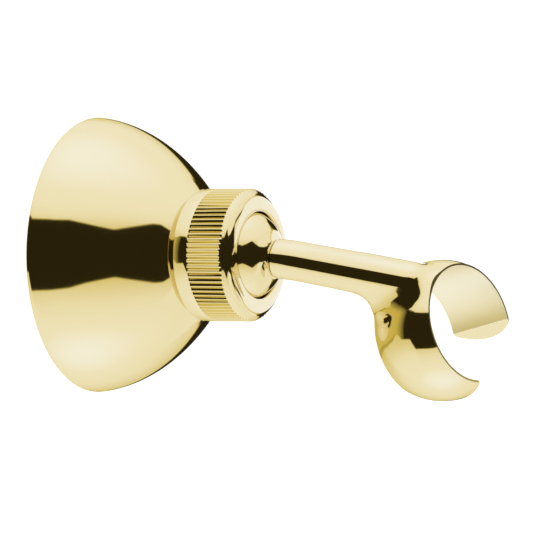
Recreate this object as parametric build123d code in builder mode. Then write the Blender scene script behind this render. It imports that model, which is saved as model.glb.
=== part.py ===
from build123d import *

import os
from math import asin, cos, degrees, radians, sin, sqrt

os.makedirs("parts", exist_ok=True)

# Hand shower holder: a bell-shaped rose on the wall, a ball clamped in the rose's neck by a knurled nut,
# and an arm that ends in an open fork for the handset. The origin is the centre of the rose's rim on the
# wall. +X leaves the wall along the rose's axis, +Z is up, and everything is symmetric about the XZ plane.

# Running clearances
turn_gap = 0.05
thread_gap = 0.08

# Rose: bell, neck and socket in one turned piece
rose_r = 28.7
rose_wall = 2.0
bell_gap = 1.6
bell_rim_slope = 0.104
bell_rim_pull = 14.4
bell_neck_pull = 0.3
neck_r = 12.0
neck_chamfer = 0.5
socket_wall = 2.0
socket_floor = 2.5

# Wall plate with its tapped boss
plate_r = 20.0
plate_thickness = 3.0
plate_edge = 0.6
boss_r = 7.0
wall_hole_r = 2.5
wall_hole_spacing = 30.0

# Screw that pulls the rose on to the plate, and its washer
screw_r = 3.0
screw_length = 12.0
screw_head_r = 5.0
screw_head = 4.0
screw_key = 4.0
screw_key_depth = 2.2
screw_hole_room = 0.3
screw_head_room = 0.3
washer_r = 5.5
washer_thickness = 1.2
washer_slit = 0.8
pocket_r = 7.5

# Ball and its plastic seats, placed from the ball's centre with the neck's end and the nut
ball_x = 33.0
neck_end = 1.4
ball_r = 10.2
ball_room = 0.15
ball_neck_r = 3.9
spigot_r = 3.0
spigot_length = 11.0
spigot_room = 0.5
seat_back = 11.7
seat_front = 4.5
seat_hole_r = 5.5
ring_back = 1.7
ring_front = 4.1
ring_r = 11.6

# Knurled nut
nut_r = 13.7
nut_back = 6.0
nut_lip = 2.2
nut_lip_chamfer = 0.4
knurl_length = 7.7
flute_count = 78
flute_depth = 0.36
flute_width = 1.02
crown_step = 0.25
crown_height = 1.9
crown_shoulder = 1.2
crown_shoulder_slope = 50.0
crown_face_pull = 2.0
nut_hole_r = 8.9
nut_ball_gap = 0.3

# Arm: a root that droops from the rose's axis, a slight bend, and a straight taper to the fork
root_droop = 6.0
arm_root_r = 4.1
arm_end_r = 4.3
root_chamfer = 0.4
root_length = 0.9
arm_bend = 8.0
arm_bend_r = 33.0
arm_taper_length = 14.0

# Fork: a ball with a through bore for the handset's cone and a slot for its hose
fork_x = 73.5
fork_top = 6.95
fork_r = 14.55
fork_rise = 18.0
bore_r = 12.0
rim_width = 0.45
slot_width = 17.8
fork_blend = 9.0
arm_end_setback = 5.6

# Sizes that follow from the ones above
neck_end_x = ball_x + neck_end
socket_r = ball_r + ball_room
socket_outer_r = socket_r + socket_wall
pocket_outer_r = pocket_r + socket_wall
seat_x = ball_x - seat_back
floor_x = seat_x - screw_head_room - screw_head - washer_thickness
floor_back = floor_x - socket_floor
boss_tap_r = screw_r + turn_gap
cup_r = ball_r + turn_gap
ball_flat = sqrt(ball_r**2 - ball_neck_r**2)
nut_bore_r = neck_r + thread_gap
nut_back_x = ball_x - nut_back
bell_depth = nut_back_x - bell_gap
knurl_back = nut_back_x + nut_lip
knurl_front = knurl_back + knurl_length
ring_pocket_r = ring_r + thread_gap
fork_drop = fork_top + fork_r
rim_offset = sqrt(fork_r**2 - (bore_r + rim_width) ** 2)
arm_slope = root_droop + arm_bend


def in_section(x, z):
    """A point of the middle plane, where the object is symmetric."""
    return Vector(x, 0, z)


def along(angle):
    """The direction in the middle plane that rises by an angle from the rose's axis."""
    return Vector(cos(radians(angle)), 0, sin(radians(angle)))


def section_plane(origin, angle):
    """The middle plane with its own x axis along a direction and its y axis upwards."""
    return Plane(origin=origin, x_dir=along(angle), z_dir=(0, -1, 0))


def bell_curve(inset, end_x, end_r):
    """The bell's outline from the rim to its front, moved inwards by the inset."""
    rim_pull = bell_rim_pull - inset / 2
    rim_r = rose_r - inset
    return Bezier(
        (0, rim_r),
        (rim_pull, rim_r - rim_pull * bell_rim_slope),
        (end_x, end_r + bell_neck_pull),
        (end_x, end_r),
    )


ball_centre = in_section(ball_x, 0)
fork_centre = in_section(fork_x, -fork_drop)

# Wall plate: a turned disc on the wall with a tapped boss that meets the socket's floor
with BuildPart() as wall_plate:
    with BuildSketch(Plane.XZ):
        with BuildLine():
            Polyline(
                (0, boss_tap_r),
                (0, plate_r),
                (plate_thickness - plate_edge, plate_r),
                (plate_thickness, plate_r - plate_edge),
                (plate_thickness, boss_r),
                (floor_back, boss_r),
                (floor_back, boss_tap_r),
                close=True,
            )
        make_face()
    revolve(axis=Axis.X)
    with BuildSketch(Plane.YZ):
        with GridLocations(wall_hole_spacing, wall_hole_spacing, 1, 2):
            Circle(wall_hole_r)
    extrude(amount=plate_thickness, mode=Mode.SUBTRACT)
wall_plate.part.label = "wall_plate"
export_step(wall_plate.part, "parts/wall_plate.step")

# Rose: the bell with the threaded neck in front and the stepped socket inside
with BuildPart() as wall_rose:
    with BuildSketch(Plane.XZ):
        with BuildLine():
            bell_curve(0, bell_depth, neck_r)
            Polyline(
                (bell_depth, neck_r),
                (neck_end_x - neck_chamfer, neck_r),
                (neck_end_x, neck_r - neck_chamfer),
                (neck_end_x, socket_r),
                (seat_x, socket_r),
                (seat_x, pocket_r),
                (floor_x, pocket_r),
                (floor_x, screw_r + screw_hole_room),
                (floor_back, screw_r + screw_hole_room),
                (floor_back, pocket_outer_r),
                (seat_x - socket_wall, pocket_outer_r),
                (seat_x - socket_wall, socket_outer_r),
                (bell_depth - rose_wall, socket_outer_r),
            )
            bell_curve(rose_wall, bell_depth - rose_wall, socket_outer_r)
            Line((0, rose_r - rose_wall), (0, rose_r))
        make_face()
    revolve(axis=Axis.X)
wall_rose.part.label = "wall_rose"
export_step(wall_rose.part, "parts/wall_rose.step")

# Lock washer: a split ring on the socket's floor
with BuildPart() as lock_washer:
    with BuildSketch(Plane.YZ.offset(floor_x)):
        Circle(washer_r)
        Circle(screw_r + screw_hole_room, mode=Mode.SUBTRACT)
        with Locations((0, washer_r / 2)):
            Rectangle(washer_slit, washer_r, mode=Mode.SUBTRACT)
    extrude(amount=washer_thickness)
lock_washer.part.label = "lock_washer"
export_step(lock_washer.part, "parts/lock_washer.step")

# Rose screw: a low socket head on the washer, its shank in the boss
screw_seat = floor_x + washer_thickness
with BuildPart() as rose_screw:
    with BuildSketch(Plane.YZ.offset(screw_seat)):
        Circle(screw_head_r)
    extrude(amount=screw_head)
    with BuildSketch(Plane.YZ.offset(screw_seat)):
        Circle(screw_r)
    extrude(amount=-screw_length)
    with BuildSketch(Plane.YZ.offset(screw_seat + screw_head)):
        RegularPolygon(screw_key / 2, 6, major_radius=False)
    extrude(amount=-screw_key_depth, mode=Mode.SUBTRACT)
rose_screw.part.label = "rose_screw"
export_step(rose_screw.part, "parts/rose_screw.step")

# Rear seat: a plastic cup behind the ball
seat_lip_angle = degrees(asin(sqrt(cup_r**2 - seat_front**2) / cup_r))
seat_hole_angle = degrees(asin(seat_hole_r / cup_r))
with BuildPart() as rear_seat:
    with BuildSketch(Plane.XZ):
        with BuildLine():
            cup = CenterArc(
                (ball_x, 0), cup_r, 180 - seat_lip_angle, seat_lip_angle - seat_hole_angle
            )
            Polyline(
                cup @ 1,
                (seat_x, seat_hole_r),
                (seat_x, socket_r - turn_gap),
                (ball_x - seat_front, socket_r - turn_gap),
                cup @ 0,
            )
        make_face()
    revolve(axis=Axis.X)
rear_seat.part.label = "rear_seat"
export_step(rear_seat.part, "parts/rear_seat.step")

# Ball: turned, with a flat and a tapped hole for the arm's spigot
root_plane = section_plane(ball_centre, -root_droop)
root_axis = Axis(ball_centre, along(-root_droop))
tap_end = ball_flat - spigot_length - spigot_room
with BuildPart() as joint_ball:
    with BuildSketch(root_plane):
        with BuildLine():
            flat_angle = degrees(asin(ball_neck_r / ball_r))
            back = CenterArc((0, 0), ball_r, flat_angle, 180 - flat_angle)
            Polyline(
                back @ 1,
                (tap_end, 0),
                (tap_end, spigot_r + turn_gap),
                (ball_flat, spigot_r + turn_gap),
                back @ 0,
            )
        make_face()
    revolve(axis=root_axis)
joint_ball.part.label = "joint_ball"
export_step(joint_ball.part, "parts/joint_ball.step")

# Slip ring: plastic, between the ball and the nut's crown
ring_back_angle = degrees(asin(sqrt(cup_r**2 - ring_back**2) / cup_r))
ring_front_angle = degrees(asin(sqrt(cup_r**2 - ring_front**2) / cup_r))
with BuildPart() as slip_ring:
    with BuildSketch(Plane.XZ):
        with BuildLine():
            seat = CenterArc(
                (ball_x, 0), cup_r, ring_front_angle, ring_back_angle - ring_front_angle
            )
            Polyline(
                seat @ 1,
                (ball_x + ring_back, ring_r),
                (ball_x + ring_front, ring_r),
                seat @ 0,
            )
        make_face()
    revolve(axis=Axis.X)
slip_ring.part.label = "slip_ring"
export_step(slip_ring.part, "parts/slip_ring.step")

# Nut: a plain lip, a band of straight flutes and a rounded crown with the hole for the ball
crown_front = knurl_front + crown_height
crown_r = nut_r - crown_step
crown_face = ball_x + ring_front + turn_gap
crown_inner_r = ball_r + nut_ball_gap
crown_hole_x = ball_x + sqrt(crown_inner_r**2 - nut_hole_r**2)
crown_face_r = sqrt(crown_inner_r**2 - (crown_face - ball_x) ** 2)
crown_mid = (crown_face + crown_hole_x) / 2 - ball_x
with BuildPart() as clamp_nut:
    with BuildSketch(Plane.XZ):
        with BuildLine():
            Polyline(
                (crown_hole_x, nut_hole_r),
                (crown_front, nut_hole_r),
            )
            Bezier(
                (crown_front, nut_hole_r),
                (crown_front, nut_hole_r + crown_face_pull),
                (
                    knurl_front + crown_shoulder * sin(radians(crown_shoulder_slope)),
                    crown_r - crown_shoulder * cos(radians(crown_shoulder_slope)),
                ),
                (knurl_front, crown_r),
            )
            Polyline(
                (knurl_front, crown_r),
                (knurl_front, nut_r),
                (nut_back_x + nut_lip_chamfer, nut_r),
                (nut_back_x, nut_r - nut_lip_chamfer),
                (nut_back_x, nut_bore_r),
                (ball_x + ring_back - turn_gap, nut_bore_r),
                (ball_x + ring_back - turn_gap, ring_pocket_r),
                (crown_face, ring_pocket_r),
                (crown_face, crown_face_r),
            )
            ThreePointArc(
                (crown_face, crown_face_r),
                (ball_x + crown_mid, sqrt(crown_inner_r**2 - crown_mid**2)),
                (crown_hole_x, nut_hole_r),
            )
        make_face()
    revolve(axis=Axis.X)
    with BuildSketch(Plane.YZ.offset(knurl_back)):
        with PolarLocations(nut_r, flute_count):
            Polygon(
                (flute_depth, 0),
                (0, flute_width / 2),
                (-flute_depth, 0),
                (0, -flute_width / 2),
                align=None,
            )
    extrude(amount=knurl_length, mode=Mode.SUBTRACT)
clamp_nut.part.label = "clamp_nut"
export_step(clamp_nut.part, "parts/clamp_nut.step")

# Arm and fork: one casting, with a threaded spigot that the ball is screwed on to
bore_dir = along(fork_rise)
fork_plane = section_plane(fork_centre, fork_rise)
bore_plane = Plane(origin=fork_centre, x_dir=(0, 1, 0), z_dir=bore_dir)
shoulder = ball_flat + turn_gap
bend_start = shoulder + root_length
bend_centre = root_plane.from_local_coords((bend_start, -arm_bend_r))
bend_axis = Axis(bend_centre, (0, 1, 0))
taper_start = bend_centre + arm_bend_r * along(90 - arm_slope)
arm_plane = section_plane(taper_start, -arm_slope)
arm_length = (fork_centre - taper_start).dot(along(-arm_slope)) - arm_end_setback


def on_blend(edge):
    """True for the edges where the arm runs into the fork's ball, in front of its rear rim."""
    middle = edge.position_at(0.5) - fork_centre
    on_ball = abs(middle.length - fork_r) < turn_gap
    on_top = middle.dot(along(90 + fork_rise)) > 0
    return on_ball and on_top and middle.dot(bore_dir) > turn_gap - rim_offset


with BuildPart() as holder_arm:
    with BuildSketch(fork_plane):
        with BuildLine():
            rim_angle = degrees(asin((bore_r + rim_width) / fork_r))
            ball_arc = CenterArc((0, 0), fork_r, 180 + rim_angle, 180 - rim_angle)
            Polyline(
                ball_arc @ 1,
                (-rim_offset, 0),
                ball_arc @ 0,
            )
        make_face()
    revolve(axis=Axis(fork_centre, bore_dir))
    with BuildSketch(arm_plane):
        with BuildLine():
            Polyline(
                (arm_length + arm_end_r, 0),
                (0, 0),
                (0, arm_root_r),
                (arm_taper_length, arm_end_r),
                (arm_length, arm_end_r),
            )
            CenterArc((arm_length, 0), arm_end_r, 0, 90)
        make_face()
    revolve(axis=Axis(taper_start, along(-arm_slope)))
    fillet(holder_arm.edges().filter_by(on_blend), fork_blend)
    split(bisect_by=Plane(origin=fork_centre + rim_offset * bore_dir, z_dir=bore_dir), keep=Keep.BOTTOM)
    with BuildSketch(bore_plane):
        Circle(bore_r)
        with Locations((0, -fork_r)):
            Rectangle(slot_width, 2 * fork_r)
    extrude(amount=fork_r, both=True, mode=Mode.SUBTRACT)
    with BuildSketch(Plane(origin=root_plane.from_local_coords((bend_start, 0)), z_dir=along(-root_droop))):
        Circle(arm_root_r)
    revolve(axis=bend_axis, revolution_arc=arm_bend)
    with BuildSketch(root_plane):
        with BuildLine():
            Polyline(
                (shoulder - spigot_length, 0),
                (shoulder - spigot_length, spigot_r),
                (shoulder, spigot_r),
                (shoulder, arm_root_r - root_chamfer),
                (shoulder + root_chamfer, arm_root_r),
                (bend_start, arm_root_r),
                (bend_start, 0),
                close=True,
            )
        make_face()
    revolve(axis=root_axis)
holder_arm.part.label = "holder_arm"
export_step(holder_arm.part, "parts/holder_arm.step")
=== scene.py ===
from math import atan2, cos, hypot, radians, sin

import bpy
from mathutils import Euler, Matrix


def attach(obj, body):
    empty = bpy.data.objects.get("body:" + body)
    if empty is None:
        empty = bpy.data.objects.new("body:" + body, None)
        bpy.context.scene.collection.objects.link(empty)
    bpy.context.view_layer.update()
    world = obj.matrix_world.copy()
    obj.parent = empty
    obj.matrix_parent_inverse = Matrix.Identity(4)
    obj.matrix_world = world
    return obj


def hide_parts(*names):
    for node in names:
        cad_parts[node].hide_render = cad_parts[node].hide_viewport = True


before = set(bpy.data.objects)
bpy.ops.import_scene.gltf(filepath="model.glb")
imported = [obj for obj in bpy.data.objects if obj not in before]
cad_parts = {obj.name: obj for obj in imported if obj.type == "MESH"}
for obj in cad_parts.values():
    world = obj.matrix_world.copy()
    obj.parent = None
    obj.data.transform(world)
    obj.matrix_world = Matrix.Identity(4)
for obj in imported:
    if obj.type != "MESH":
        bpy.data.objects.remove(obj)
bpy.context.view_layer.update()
bpy.ops.object.select_all(action="DESELECT")


# Wall plate: a disc turned from steel bar with a tapped boss, and two plain holes for the wall screws.
# It is left as it comes off the lathe, so fine rings from the tool run round its faces.
class Flow:
    """A value on its way through a node tree; arithmetic on it adds Math nodes."""

    def __init__(self, tree, socket=None):
        self.tree = tree
        self.socket = socket

    def add(self, kind, settings, values, output=0):
        node = self.tree.nodes.new(kind)
        for name, setting in settings.items():
            if name == "stops":
                ramp = node.color_ramp
                for count, (place, colour) in enumerate(setting):
                    stop = ramp.elements[count] if count < 2 else ramp.elements.new(place)
                    stop.position = place
                    stop.color = colour
            else:
                setattr(node, name, setting)
        for key, value in values.items():
            self.join(node.inputs[key], value)
        return Flow(self.tree, node.outputs[output])

    def join(self, socket, value):
        if isinstance(value, Flow):
            self.tree.links.new(value.socket, socket)
        else:
            socket.default_value = value

    def output(self, name):
        return Flow(self.tree, self.socket.node.outputs[name])

    def maths(self, operation, *values):
        return self.add("ShaderNodeMath", {"operation": operation}, dict(enumerate(values)))

    def blend(self, amount, first, second):
        return self.add("ShaderNodeMix", {"data_type": "RGBA"}, {0: amount, 6: first, 7: second}, 2)

    def rise(self, value, low, high):
        return self.add(
            "ShaderNodeMapRange",
            {"interpolation_type": "SMOOTHSTEP"},
            {"Value": value, "From Min": low, "From Max": high},
        )

    def __add__(self, other):
        return self.maths("ADD", self, other)

    def __sub__(self, other):
        return self.maths("SUBTRACT", self, other)

    def __rsub__(self, other):
        return self.maths("SUBTRACT", other, self)

    def __mul__(self, other):
        return self.maths("MULTIPLY", self, other)

    def __truediv__(self, other):
        return self.maths("DIVIDE", self, other)

    __radd__ = __add__
    __rmul__ = __mul__


def new_finish(name, metallic):
    """A new material, its shader, the flow through its nodes and the place on the piece in metres."""
    material = bpy.data.materials.new(name)
    material.use_nodes = True
    shader = material.node_tree.nodes["Principled BSDF"]
    shader.inputs["Metallic"].default_value = metallic
    flow = Flow(material.node_tree)
    place = flow.add("ShaderNodeTexCoord", {}, {}, "Object")
    return material, shader, flow, place


def from_axis(flow, place):
    """How far along the rose's axis and how far out from it a point lies, in millimetres."""
    parts = flow.add("ShaderNodeSeparateXYZ", {}, {0: place})
    side = parts.output("Y")
    height = parts.output("Z")
    return parts * 1000, flow.maths("SQRT", side * side + height * height) * 1000


def speckle(flow, place, scale, detail=3.0):
    """Cloudy noise from 0 to 1."""
    return flow.add("ShaderNodeTexNoise", {}, {"Vector": place, "Scale": scale, "Detail": detail})


def marked(flow, shader, height, strength, depth):
    """Mark a finish's surface with a pattern, depth metres deep."""
    bump = flow.add("ShaderNodeBump", {}, {"Height": height, "Strength": strength, "Distance": depth})
    flow.join(shader.inputs["Normal"], bump)


def tool_rings(flow, shader, place, wander, pitch):
    """Rings from 0 to 1, pitch millimetres apart, that a lathe tool leaves; wander makes them uneven."""
    along, out = from_axis(flow, place)
    rings = flow.maths("SINE", (out + along + wander) * (radians(360) / pitch)) * 0.5 + 0.5
    marked(flow, shader, rings, strength=0.15, depth=0.00003)
    return rings


def shaded(colour, share):
    """A darker share of a colour."""
    return [part * share for part in colour[:3]] + [1]


def turned_steel(name, colour, ring_pitch, roughness):
    """Steel with fine tool rings, darker and duller along each ring."""
    material, shader, flow, place = new_finish(name, 1.0)
    cloud = speckle(flow, place, 400.0)
    rings = tool_rings(flow, shader, place, wander=cloud * 0.2, pitch=ring_pitch)
    steel = flow.blend(rings * 0.45 + cloud * 0.25, colour, shaded(colour, 0.7))
    flow.join(shader.inputs["Base Color"], steel)
    flow.join(shader.inputs["Roughness"], rings * 0.10 + cloud * 0.05 + roughness)
    return material


def dress(node_name, material):
    """Give a CAD node its finish."""
    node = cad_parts[node_name]
    node.data.materials.clear()
    node.data.materials.append(material)


plate_steel = (0.62, 0.62, 0.60, 1)
dress("wall_plate", turned_steel("plate_steel", plate_steel, ring_pitch=0.7, roughness=0.26))


# Rose: bell, neck for the nut and ball socket, turned as one piece of brass and plated in gold.
# The outside is polished to a mirror; the inside and the socket keep their turned face.
def polished_gold(name, painted_light_mask=None, painted_light_colour=None, dulling_under_mask=0.0):
    """Gold plating over polished brass; an optional mask gives where another colour, painted shade or
    painted light, is laid over the gold, and where the finish is duller.
    """
    material, shader, flow, place = new_finish(name, 1.0)
    cloud = speckle(flow, place, 60.0)
    wipe = speckle(flow, place, 900.0, 4.0)
    deep_gold, pale_gold = (0.862, 0.764, 0.472, 1), (0.848, 0.757, 0.486, 1)
    gold = flow.blend(cloud, deep_gold, pale_gold)
    roughness = wipe * 0.03 + cloud * 0.02 + 0.035
    # painted light or shade: where the mask is set, the gold takes a colour that stands in for light or
    # shade
    if painted_light_mask:
        mask = painted_light_mask(flow, place)
        gold = flow.blend(mask, gold, painted_light_colour)
        roughness = roughness + mask * dulling_under_mask
    flow.join(shader.inputs["Base Color"], gold)
    flow.join(shader.inputs["Roughness"], roughness)
    return material


def turned_brass(name):
    """Bare brass with tool rings, for faces that aren't polished."""
    material, shader, flow, place = new_finish(name, 1.0)
    cloud = speckle(flow, place, 140.0)
    rings = tool_rings(flow, shader, place, wander=cloud * 0.4, pitch=0.393)
    bright_brass, dull_brass = (0.74, 0.58, 0.28, 1), (0.60, 0.46, 0.21, 1)
    brass = flow.blend(cloud, bright_brass, dull_brass)
    flow.join(shader.inputs["Base Color"], brass)
    flow.join(shader.inputs["Roughness"], rings * 0.10 + cloud * 0.10 + 0.26)
    return material


def drawn(start, pull, push, end, count):
    """Points along the smooth curve from start to end that its two handles draw."""
    points = []
    for step in range(count + 1):
        t = step / count
        weights = ((1 - t) ** 3, 3 * t * (1 - t) ** 2, 3 * t**2 * (1 - t), t**3)
        corners = (start, pull, push, end)
        points.append(tuple(sum(w * corner[i] for w, corner in zip(weights, corners)) for i in (0, 1)))
    return points


def softened(before, corner, after, radius):
    """The points of a corner that is rounded off by a radius."""
    ends = []
    for other in (before, after):
        length = hypot(other[0] - corner[0], other[1] - corner[1])
        ends.append(tuple(c + (o - c) * radius / length for c, o in zip(corner, other)))
    middle = tuple((a + 2 * c + b) / 4 for a, c, b in zip(ends[0], corner, ends[1]))
    return [ends[0], middle, ends[1]]


def turned(name, outline, steps):
    """Spin a closed outline of (along, out) points, in millimetres, about the rose's axis."""
    weld = 0.000002
    bpy.ops.object.select_all(action="DESELECT")
    bpy.ops.mesh.primitive_circle_add(vertices=len(outline), radius=0.01)
    piece = bpy.context.object
    piece.name = name
    for point, (along, out) in zip(piece.data.vertices, outline):
        point.co = (along / 1000, 0.0, out / 1000)
    bpy.ops.object.mode_set(mode="EDIT")
    bpy.ops.mesh.select_all(action="SELECT")
    bpy.ops.mesh.spin(steps=steps, angle=radians(360), center=(0, 0, 0), axis=(1, 0, 0))
    bpy.ops.mesh.select_all(action="SELECT")
    bpy.ops.mesh.remove_doubles(threshold=weld)
    bpy.ops.mesh.normals_make_consistent(inside=False)
    bpy.ops.object.mode_set(mode="OBJECT")
    return piece


def two_faced(piece, outside, inside, is_inside):
    """Give a piece its polished and its bare faces."""
    piece.data.materials.append(outside)
    piece.data.materials.append(inside)
    for face in piece.data.polygons:
        out = hypot(face.center.y, face.center.z) * 1000
        facing = face.normal.y * face.center.y + face.normal.z * face.center.z
        face.material_index = int(is_inside(face.center.x * 1000, out, facing))


rose_r = 28.7
rose_wall = 2.0
rim_round = 0.12
rim_chamfer = 0.25
rim_slope = 0.1
rim_pull = 14.4
rim_drop = 1.5
inner_rim_pull = 13.4
inner_rim_drop = 1.39
bell_depth = 25.4
neck_r = 12.0
neck_end = 34.4
neck_chamfer = 0.5
neck_pull = 0.3
relief_start, relief_end = 25.9, 27.1
relief_slope = 0.3
socket_r = 10.35
seat_floor = 21.3
pocket_r = 7.5
pocket_floor = 15.8
floor_thickness = 2.5
screw_hole_r = 3.3
rose_steps = 256
smooth_angle = radians(35)

rim_in = rose_r - rose_wall
bell_in = bell_depth - rose_wall
socket_out = socket_r + rose_wall
pocket_out = pocket_r + rose_wall
relief_r = neck_r - neck_chamfer
hub_back = pocket_floor - floor_thickness
hub_step = seat_floor - rose_wall
outline = softened((0, rim_in), (0, rose_r), (1, rose_r - rim_slope), rim_round)
outline += drawn(
    (rim_round, rose_r - 0.01),
    (rim_pull, rose_r - rim_drop),
    (bell_depth, neck_r + neck_pull),
    (bell_depth, neck_r),
    count=72,
)[1:]
outline += [(relief_start, neck_r), (relief_start + relief_slope, relief_r)]
outline += [(relief_end - relief_slope, relief_r), (relief_end, neck_r)]
outline += [(neck_end - neck_chamfer, neck_r), (neck_end, neck_r - neck_chamfer)]
outline += [(neck_end, socket_r), (seat_floor, socket_r)]
outline += [(seat_floor, pocket_r), (pocket_floor, pocket_r)]
outline += [(pocket_floor, screw_hole_r), (hub_back, screw_hole_r)]
outline += [(hub_back, pocket_out), (hub_step, pocket_out), (hub_step, socket_out)]
outline += drawn(
    (bell_in, socket_out),
    (bell_in, socket_out + neck_pull),
    (inner_rim_pull, rim_in - inner_rim_drop),
    (0.3, rim_in - 0.03),
    count=48,
)
outline += [(0, rim_in + rim_chamfer)]
rose = turned("bell_rose", outline, rose_steps)
two_faced(
    rose,
    polished_gold("rose_gold_plate"),
    turned_brass("rose_bare_brass"),
    lambda along, out, facing: facing < 0 or (along < bell_depth - 0.4 and out < socket_out + 0.05),
)
bpy.ops.object.shade_smooth_by_angle(angle=smooth_angle)
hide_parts("wall_rose")
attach(rose, "wall_side")


# Lock washer: a split ring of spring steel under the screw's head, darkened by its hardening.
# It lies on the socket's floor, out of sight once the ball is in.
spring_steel = (0.30, 0.30, 0.32, 1)
dress("lock_washer", turned_steel("spring_steel", spring_steel, ring_pitch=0.5, roughness=0.36))


# Rose screw: a socket-head screw of plain stainless steel that pulls the rose on to the plate.
# It goes in through the socket before the ball, with its shank in the plate's boss.
screw_steel = (0.66, 0.66, 0.64, 1)
dress("rose_screw", turned_steel("screw_steel", screw_steel, ring_pitch=0.6, roughness=0.20))


# Rear seat: a cup of natural acetal, moulded, behind the ball in the rose's socket.
# The arm's swivel turns it, so its faces are rubbed a little smoother in places.
def moulded_acetal(name, colour):
    """Off-white plastic with a faint waxy unevenness."""
    material, shader, flow, place = new_finish(name, 0.0)
    cloud = speckle(flow, place, 120.0)
    grain = speckle(flow, place, 1500.0)
    flow.join(shader.inputs["Base Color"], flow.blend(cloud, colour, shaded(colour, 0.93)))
    flow.join(shader.inputs["Roughness"], cloud * 0.12 + grain * 0.06 + 0.34)
    marked(flow, shader, grain, strength=0.08, depth=0.00002)
    return material


seat_acetal = (0.84, 0.83, 0.77, 1)
dress("rear_seat", moulded_acetal("seat_acetal", seat_acetal))


# Ball: turned from brass, plated and polished, with a flat and a tapped hole for the arm.
# It is screwed on to the arm's spigot after the nut and the slip ring are on the arm.
ball_x = 33.0
ball_r = 10.2
ball_flat = 9.425
ball_hole_rim = 0.85
ball_hole_depth = 11.5
arm_slope = radians(6)

ball_centre = (ball_x / 1000, 0.0, 0.0)
arm_axis = (cos(arm_slope), 0.0, -sin(arm_slope))
bpy.ops.object.select_all(action="DESELECT")
bpy.ops.mesh.primitive_uv_sphere_add(
    segments=160,
    ring_count=80,
    radius=ball_r / 1000,
    location=ball_centre,
    rotation=(0, radians(90) + arm_slope, 0),
)
ball = bpy.context.object
ball.name = "joint_ball_gold"
bpy.ops.object.transform_apply(location=True, rotation=True, scale=True)
bpy.ops.object.mode_set(mode="EDIT")
bpy.ops.mesh.select_all(action="SELECT")
bpy.ops.mesh.bisect(
    plane_co=[centre + ball_flat / 1000 * part for centre, part in zip(ball_centre, arm_axis)],
    plane_no=arm_axis,
    use_fill=True,
    clear_outer=True,
)
bpy.ops.mesh.select_mode(type="FACE")
bpy.ops.object.mode_set(mode="OBJECT")
for face in ball.data.polygons:
    face.select = len(face.vertices) > 4
bpy.ops.object.mode_set(mode="EDIT")
bpy.ops.mesh.inset(thickness=ball_hole_rim / 1000)
bpy.ops.mesh.extrude_region_move(
    TRANSFORM_OT_translate={"value": [-ball_hole_depth / 1000 * part for part in arm_axis]}
)
bpy.ops.mesh.select_all(action="SELECT")
bpy.ops.mesh.normals_make_consistent(inside=False)
bpy.ops.object.mode_set(mode="OBJECT")
ball.data.materials.append(polished_gold("ball_gold_plate"))
bpy.ops.object.shade_smooth_by_angle(angle=smooth_angle)
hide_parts("joint_ball")
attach(ball, "joint_ball")


# Slip ring: a ring of the same acetal between the ball and the nut's crown.
# The nut presses it on the ball, and it comes out with the nut as that is undone.
ring_acetal = (0.86, 0.85, 0.80, 1)
dress("slip_ring", moulded_acetal("ring_acetal", ring_acetal))


# Clamp nut: a union nut turned from brass, with a plain lip, a band of straight knurling and a rounded
# crown, then plated and polished. The knurling's flutes are painted a deeper gold, darkest at their
# bottoms, as painted shade.
nut_r = 13.7
nut_back = 26.0
nut_front = 38.8
nut_bore_r = 12.08
nut_bore_chamfer = 0.3
nut_bore_flare = 0.27
band_start, band_end = 29.2, 36.9
band_gap = 0.14
crown_r = 13.45
crown_shoulder = (37.2, 13.2)
crown_start, crown_pull = (37.55, 12.91), (38.3, 12.28)
crown_face_r, crown_face_pull = 9.3, 11.0
hole_r = 9.05
hole_back = 37.85
ball_room = 0.07
pocket_angles = (61.8, 63.2, 64.6, 66.0)
ring_pocket_r = 11.68
ring_back, ring_front = 34.65, 37.15
flute_count = 78
half_flute = (0.360, 0.325, 0.250, 0.175, 0.100, 0.035, 0.0)
# painted shade: the deeper gold laid in the flutes' bottoms
flute_painted_shade = (0.70, 0.52, 0.10, 1)
flute_smooth_angle = radians(48)

flute = half_flute + half_flute[-2:0:-1]
nut_steps = flute_count * len(flute)


def flute_shade_mask(flow, place):
    """Where painted shade darkens the knurling: 1 at the bottom of the flutes, less on their crests and 0
    off the knurled band.
    """
    along, out = from_axis(flow, place)
    past_start = flow.rise(along, band_start, band_start + 0.1)
    before_end = 1 - flow.rise(along, band_end - 0.2, band_end - 0.1)
    crest = flow.rise(out, nut_r - 0.34, nut_r - 0.04)
    return past_start * before_end * (1 - crest * 0.6)


def round_ball(angle):
    """A point of the nut's pocket, just clear of the ball."""
    reach = ball_r + ball_room
    return (ball_x + reach * cos(radians(angle)), reach * sin(radians(angle)))


lip_front = (band_start, nut_r)
outline = softened((nut_back, nut_bore_r), (nut_back, nut_r), lip_front, radius=0.2)
outline += [(band_start - 1.0, nut_r)]
outline += softened((nut_back, nut_r), lip_front, (band_start + 0.15, nut_r - 0.2), radius=0.08)
outline += [(band_start + band_gap, nut_r), (band_end - band_gap, nut_r)]
outline += [(band_end, crown_r), crown_shoulder]
outline += drawn(
    crown_start, crown_pull, (nut_front, crown_face_pull), (nut_front, crown_face_r), count=24
)
outline += softened((nut_front, crown_face_r), (nut_front, hole_r), (hole_back, hole_r), radius=0.1)
outline += [round_ball(angle) for angle in pocket_angles]
outline += [(ring_front, ring_pocket_r), (ring_back, ring_pocket_r), (ring_back, nut_bore_r)]
outline += [(nut_back + nut_bore_chamfer, nut_bore_r), (nut_back, nut_bore_r + nut_bore_flare)]
nut = turned("knurled_nut", outline, nut_steps)
for point in nut.data.vertices:
    along = point.co.x * 1000
    out = hypot(point.co.y, point.co.z) * 1000
    if band_start + 0.1 < along < band_end - 0.1 and out > nut_r - 0.2:
        turn = atan2(point.co.z, point.co.y) / radians(360) * nut_steps
        shrink = 1 - flute[round(turn) % len(flute)] / out
        point.co.y *= shrink
        point.co.z *= shrink
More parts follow.
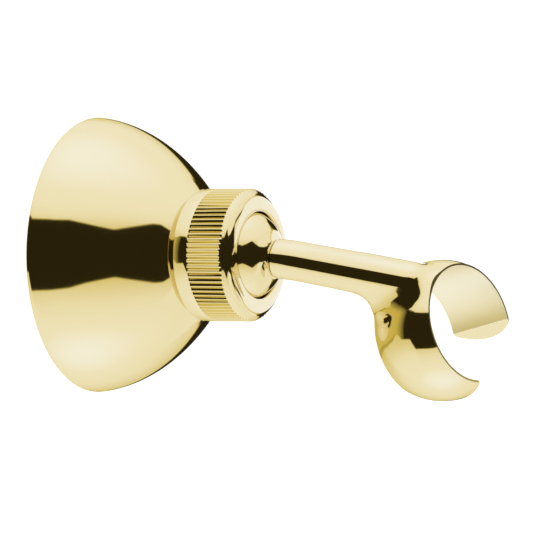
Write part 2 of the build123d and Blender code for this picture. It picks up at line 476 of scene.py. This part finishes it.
# painted shade: the flutes are coloured a deeper gold towards their bottoms, and are a little duller there
two_faced(
    nut,
    polished_gold("nut_gold_plate", flute_shade_mask, flute_painted_shade, dulling_under_mask=0.06),
    turned_brass("nut_bare_brass"),
    lambda along, out, facing: facing < 0 and along < ring_front + 0.05 and out < nut_bore_r + 0.12,
)
bpy.ops.object.shade_smooth_by_angle(angle=flute_smooth_angle)
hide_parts("clamp_nut")
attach(nut, "clamp_nut")


# Arm and fork: one brass casting, dressed, polished and plated, with a spigot for the ball.
# The fork's bore, which takes the cone of a hand shower, is left satin from the reamer; its paler gold is
# painted light.
fork_centre = (0.0735, 0.0, -0.0215)
bore_r = 0.012
bore_slope = radians(18)
# painted light: a paler gold for the bore's wall
bore_painted_light = (0.95, 0.89, 0.68, 1)


def in_bore(flow, place):
    """1 on the wall of the fork's bore, where a paler gold is painted in as painted light, and 0
    elsewhere.
    """
    bore_axis = (cos(bore_slope), 0.0, sin(bore_slope))
    reach = flow.add("ShaderNodeVectorMath", {"operation": "SUBTRACT"}, {0: place, 1: fork_centre})
    deep = flow.add("ShaderNodeVectorMath", {"operation": "PROJECT"}, {0: reach, 1: bore_axis})
    side = flow.add("ShaderNodeVectorMath", {"operation": "DISTANCE"}, {0: reach, 1: deep}, "Value")
    return 1 - flow.rise(side, bore_r + 0.00003, bore_r + 0.0001)


# painted light: the bore's wall is coloured a paler gold; its higher roughness is the satin finish
dress("holder_arm", polished_gold("arm_gold_plate", in_bore, bore_painted_light, dulling_under_mask=0.32))


# Studio: a pale floor well below the holder and a surround that brightens upwards and downwards. Dark
# cards at the camera's level draw the dark bands on the polished metal. A bright pane with a dark
# border stands to the right and behind, and lights the edges that turn away.
floor_size = 8.0
floor_drop = 0.8
floor_grey, floor_shade = (0.90, 0.90, 0.90, 1), (0.88, 0.88, 0.88, 1)
camera_place = (0.64135, -0.74343, 0.72499)
camera_turn = Euler([radians(angle) for angle in (49.7502, 20.3823, 22.5858)])
camera_lens = 393.66

bpy.ops.object.select_all(action="DESELECT")
bpy.ops.mesh.primitive_plane_add(size=floor_size, location=(0, 0, -floor_drop))
floor = bpy.context.object
floor.name = "floor"
paint, shader, flow, place = new_finish("floor_paint", 0.0)
mottle = speckle(flow, place, 2.0)
flow.join(shader.inputs["Base Color"], flow.blend(mottle, floor_grey, floor_shade))
shader.inputs["Roughness"].default_value = 0.9
shader.inputs["Emission Color"].default_value = (1, 1, 1, 1)
shader.inputs["Emission Strength"].default_value = 0.55
floor.data.materials.append(paint)
floor.visible_glossy = False

studio = bpy.data.worlds.new("studio")
bpy.context.scene.world = studio
studio.use_nodes = True
flow = Flow(studio.node_tree)
look = flow.add("ShaderNodeTexCoord", {}, {}, "Generated")


def towards(direction):
    """How far a look goes along a direction."""
    dot = {"operation": "DOT_PRODUCT"}
    return flow.add("ShaderNodeVectorMath", dot, {0: look, 1: direction}, "Value")


def level_by(value, reach, *stops):
    """A level read off a line of (value, level) stops, for values from -reach to reach."""
    greys = [((at + reach) / (2 * reach), (level, level, level, 1)) for at, level in stops]
    return flow.add("ShaderNodeValToRGB", {"stops": greys}, {0: (value + reach) / (2 * reach)})


def within(value, edge, softness):
    """1 below an edge and 0 above it, with a soft step between."""
    return 1 - flow.rise(value, edge - softness, edge + softness)


# bearings run from -180 to 180 degrees, with the camera at 0 and its right side positive
camera_right, camera_up, camera_back = camera_turn.to_matrix().transposed()
climb = towards(camera_up)
bearing = flow.maths("DEGREES", flow.maths("ARCTAN2", towards(camera_right), towards(camera_back)))

lowest_rise = 0.1
card_rise = level_by(
    bearing, 180,
    (-180, 0.10), (-110, 0.10), (-93, 0.17), (-87, 0.25), (-79, 0.25), (-74, 0.225), (-58, 0.23),
    (-51, 0.10), (-25, 0.10), (0, 0.118), (180, 0.118),
)
height = flow.maths("ABSOLUTE", climb - (card_rise - lowest_rise))
card_edge = level_by(
    bearing, 180,
    (-180, 0.26), (-110, 0.25), (-93, 0.29), (-87, 0.25), (-79, 0.25), (-74, 0.325), (-58, 0.34),
    (-51, 0.457), (-32, 0.474), (-12, 0.470), (17.5, 0.352), (40, 0.478), (45, 0.48), (52, 0.36),
    (60, 0.27), (72, 0.24), (80, 0.25), (87, 0.27), (94, 0.12), (103, 0.0), (180, 0.0),
)
card_level = level_by(
    bearing, 180,
    (-180, 0.53), (-95, 0.53), (-82, 0.49), (-77, 0.36), (-71, 0.15), (-68, 0.0), (180, 0.0),
)
card = within(height, card_edge, 0.016)

border_low = level_by(
    bearing, 180,
    (-180, 0.22), (-86, 0.22), (86, 0.24), (101, 0.24), (105, 0.39), (118, 0.45), (132, 0.42),
    (138, 0.40), (142, 0.36), (148, 0.30), (152, 0.26), (158, 0.20), (163, 0.15), (168, 0.12),
    (173, 0.13), (180, 0.18),
)
border_high = level_by(
    bearing, 180,
    (-180, 0.28), (-86, 0.28), (86, 0.32), (101, 0.32), (105, 0.44), (118, 0.485), (132, 0.48),
    (140, 0.49), (148, 0.485), (152, 0.44), (158, 0.405), (163, 0.37), (168, 0.33), (173, 0.295),
    (180, 0.23),
)
border_depth = level_by(
    bearing, 180,
    (-180, 0.25), (-90, 0.25), (-84, 0.0), (84, 0.0), (88, 0.8), (100, 0.95), (103, 0.5), (106, 0.22),
    (118, 0.32), (128, 0.28), (134, 0.5), (140, 0.85), (146, 1.0), (180, 1.0),
)
inside_border = within(height, border_low, 0.012)
border = (1 - inside_border) * within(height, border_high, 0.014) * border_depth
pane = flow.rise(bearing, 92, 104) * inside_border

surround = level_by(
    climb, 1,
    (-1, 1.0), (-0.85, 0.925), (-0.75, 0.87), (-0.65, 0.82), (-0.55, 0.76), (-0.45, 0.69), (-0.3, 0.60),
    (0.3, 0.62), (0.45, 0.74), (0.55, 0.845), (0.65, 0.92), (0.85, 0.96), (1, 1.0),
)
left_lift = level_by(bearing, 180, (-130, 0.0), (-118, 0.07), (-58, 0.07), (-48, 0.0))
below_card = flow.rise(climb, -0.9, -0.6) * (1 - flow.rise(climb, -0.3, -0.1))
right_glow = level_by(bearing, 180, (46, 0.0), (57, 0.87), (140, 0.88), (152, 0.0))
bright = flow.maths("MAXIMUM", surround + left_lift * below_card, right_glow)
bright = flow.maths("MAXIMUM", bright, pane * 0.985)
level = (bright * (1 - card) + card_level * card) * (1 - border)

# the colour of each level of light, from the black of the cards through a warm shade to a cool white
tones = (
    (0.0, (0.0170, 0.0130, 0.0041, 1)),
    (0.3, (0.250, 0.210, 0.060, 1)),
    (0.5, (0.462, 0.368, 0.080, 1)),
    (0.6, (0.556, 0.484, 0.199, 1)),
    (0.83, (0.685, 0.662, 0.575, 1)),
    (0.95, (0.714, 0.714, 0.714, 1)),
    (1.0, (0.755, 0.790, 0.960, 1)),
)
tone = flow.add("ShaderNodeValToRGB", {"stops": tones}, {0: level})

studio_strength = 1.4
rays = flow.add("ShaderNodeLightPath", {}, {}, "Is Camera Ray")
sky = studio.node_tree.nodes["Background"]
flow.join(sky.inputs["Color"], flow.blend(rays, tone, (1, 1, 1, 1)))
flow.join(sky.inputs["Strength"], studio_strength - rays * (studio_strength - 1))

bpy.ops.object.camera_add(location=camera_place, rotation=camera_turn)
camera = bpy.context.object
camera.data.lens = camera_lens
camera.data.clip_end = 20.0
bpy.context.scene.camera = camera
bpy.context.scene.view_settings.view_transform = "Standard"
